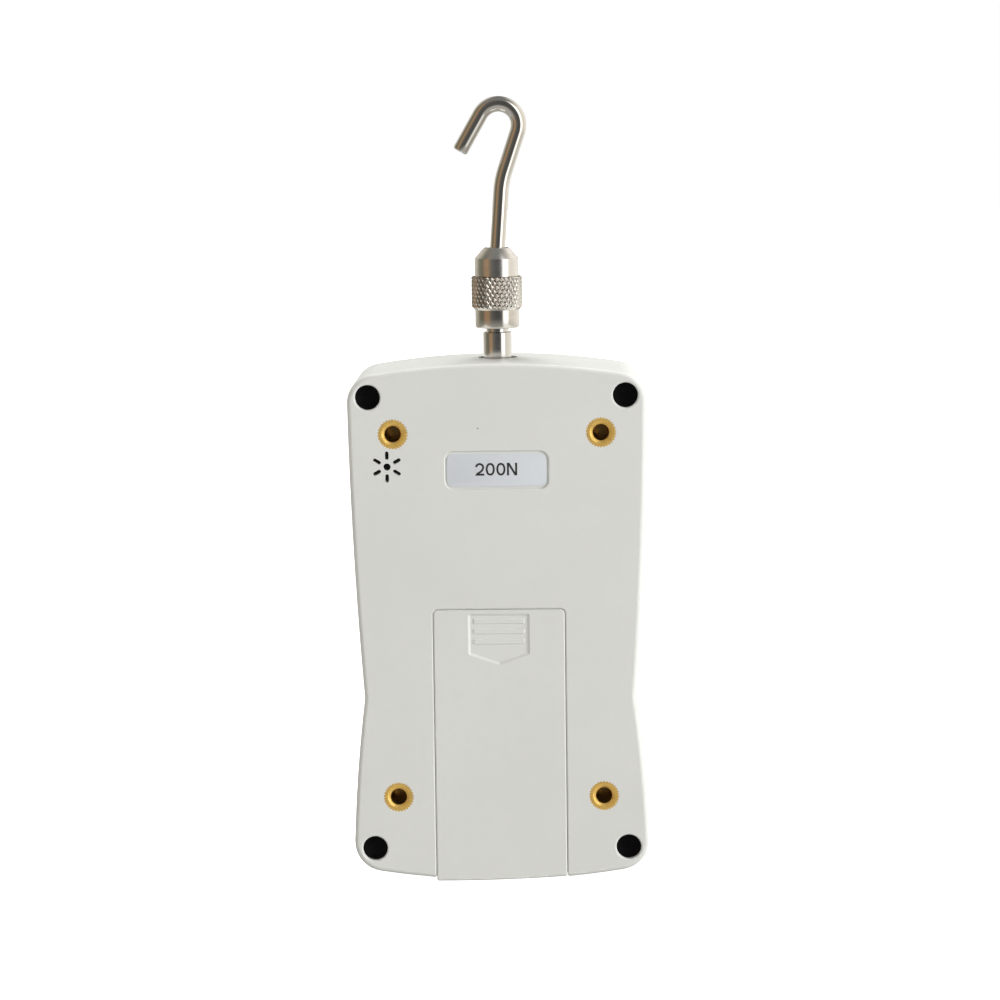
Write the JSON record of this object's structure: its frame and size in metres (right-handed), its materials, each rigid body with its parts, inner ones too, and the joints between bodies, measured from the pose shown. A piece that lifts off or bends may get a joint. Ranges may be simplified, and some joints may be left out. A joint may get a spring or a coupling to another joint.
{
  "type": "force gauge",
  "caption": "Handheld digital push-pull force gauge with a load-cell shaft, a knurled coupler and a hook, a sliding battery door and a keypad.",
  "frame": {"origin": "centre of the pattern of four threaded mounting inserts, on the back face", "axes": "+Z along the measuring axis towards the hook, -Y out of the back face, +X to the right as the back is faced"},
  "size_m": [0.0776, 0.0369, 0.2052],
  "materials": {
    "case_abs": "fine-grained off-white ABS",
    "brass": "turned and knurled brass, slightly dulled",
    "black_steel": "black oxide",
    "zinc_steel": "zinc plated",
    "black_rubber": "matt black rubber",
    "label_film": "satin pale blue-grey film",
    "window": "clear polycarbonate",
    "display_glass": "reflective liquid crystal glass",
    "black_plastic": "moulded black plastic",
    "overlay": "satin printed film",
    "key_grey": "soft-touch grey",
    "key_red": "soft-touch red",
    "pcb_green": "solder mask over copper",
    "tinned_steel": "bright tinned sheet",
    "white_plastic": "natural nylon",
    "battery_wrap": "blue shrink wrap",
    "wire_red": "pvc insulation",
    "wire_black": "pvc insulation",
    "wire_grey": "pvc insulation",
    "aluminium": "milled aluminium alloy",
    "gauge_foil": "amber polyimide foil",
    "polished_steel": "nickel-plated turned steel",
    "hook_chrome": "bright plated wire"
  },
  "bodies": {
    "case": {"back_shell": "case_abs", "front_shell": "case_abs", "threaded_inserts": "brass", "case_screws": "black_steel", "screw_plugs": "black_rubber", "shell_inserts": "brass", "capacity_label": "label_film", "lcd_window": "window", "lcd_module": "display_glass", "lcd_frame": "black_plastic", "keypad_overlay": "overlay", "key_switches": "black_plastic", "main_pcb": "pcb_green", "pcb_screws": "zinc_steel", "microcontroller": "black_plastic", "amplifier_shield": "tinned_steel", "signal_connector": "white_plastic", "buzzer": "black_plastic", "buzzer_leads": "wire_black", "dc_jack": "black_plastic", "data_port": "tinned_steel", "battery_pack": "battery_wrap", "battery_socket": "white_plastic", "battery_plug": "white_plastic", "battery_lead": "wire_red", "load_cell_frame": "aluminium", "load_cell": "aluminium", "load_cell_screws": "black_steel", "frame_screws": "zinc_steel", "strain_gauges": "gauge_foil", "load_cell_cable": "wire_grey"},
    "measuring_shaft": {"sensing_shaft": "polished_steel", "shaft_nut": "zinc_steel", "dust_ring": "black_rubber"},
    "hook_carrier": {"thrust_washer": "zinc_steel"},
    "coupler": {"coupler_body": "polished_steel", "coupler_cap": "polished_steel"},
    "hook": {"hook": "hook_chrome", "hook_collar": "zinc_steel"},
    "battery_door": {"battery_door": "case_abs"},
    "key_power": {"key_power": "key_red"},
    "key_zero": {"key_zero": "key_grey"},
    "key_peak": {"key_peak": "key_grey"},
    "key_unit": {"key_unit": "key_grey"},
    "key_set": {"key_set": "key_grey"},
    "key_send": {"key_send": "key_grey"}
  },
  "joints": [
    {"name": "shaft_travel", "type": "slide", "parent": "case", "child": "measuring_shaft", "axis": [0, 0, 1], "range_m": [-0.0003, 0.0003], "stiffness_N_per_m": 20000, "deforming": ["load_cell"]},
    {"name": "coupler_lift", "type": "slide", "parent": "measuring_shaft", "child": "hook_carrier", "axis": [0, 0, 1], "range_m": [0, 0.008]},
    {"name": "coupler_turn", "type": "hinge", "parent": "hook_carrier", "child": "coupler", "pos_m": [0, 0.0205, 0.0837], "axis": [0, 0, 1], "range_deg": [0, 2880]},
    {"name": "hook_swivel", "type": "hinge", "parent": "hook_carrier", "child": "hook", "pos_m": [0, 0.0205, 0.0957], "axis": [0, 0, 1], "continuous": true},
    {"name": "door_slide", "type": "slide", "parent": "case", "child": "battery_door", "axis": [0, 0, -1], "range_m": [0, 0.072]},
    {"name": "key_power_press", "type": "slide", "parent": "case", "child": "key_power", "axis": [0, -1, 0], "range_m": [0, 0.0006], "stiffness_N_per_m": 250},
    {"name": "key_zero_press", "type": "slide", "parent": "case", "child": "key_zero", "axis": [0, -1, 0], "range_m": [0, 0.0006], "stiffness_N_per_m": 250},
    {"name": "key_peak_press", "type": "slide", "parent": "case", "child": "key_peak", "axis": [0, -1, 0], "range_m": [0, 0.0006], "stiffness_N_per_m": 250},
    {"name": "key_unit_press", "type": "slide", "parent": "case", "child": "key_unit", "axis": [0, -1, 0], "range_m": [0, 0.0006], "stiffness_N_per_m": 250},
    {"name": "key_set_press", "type": "slide", "parent": "case", "child": "key_set", "axis": [0, -1, 0], "range_m": [0, 0.0006], "stiffness_N_per_m": 250},
    {"name": "key_send_press", "type": "slide", "parent": "case", "child": "key_send", "axis": [0, -1, 0], "range_m": [0, 0.0006], "stiffness_N_per_m": 250}
  ],
  "couplings": [
    {"joint": "coupler_lift", "follows": "coupler_turn", "m_per_rad": 0.00015915}
  ]
}
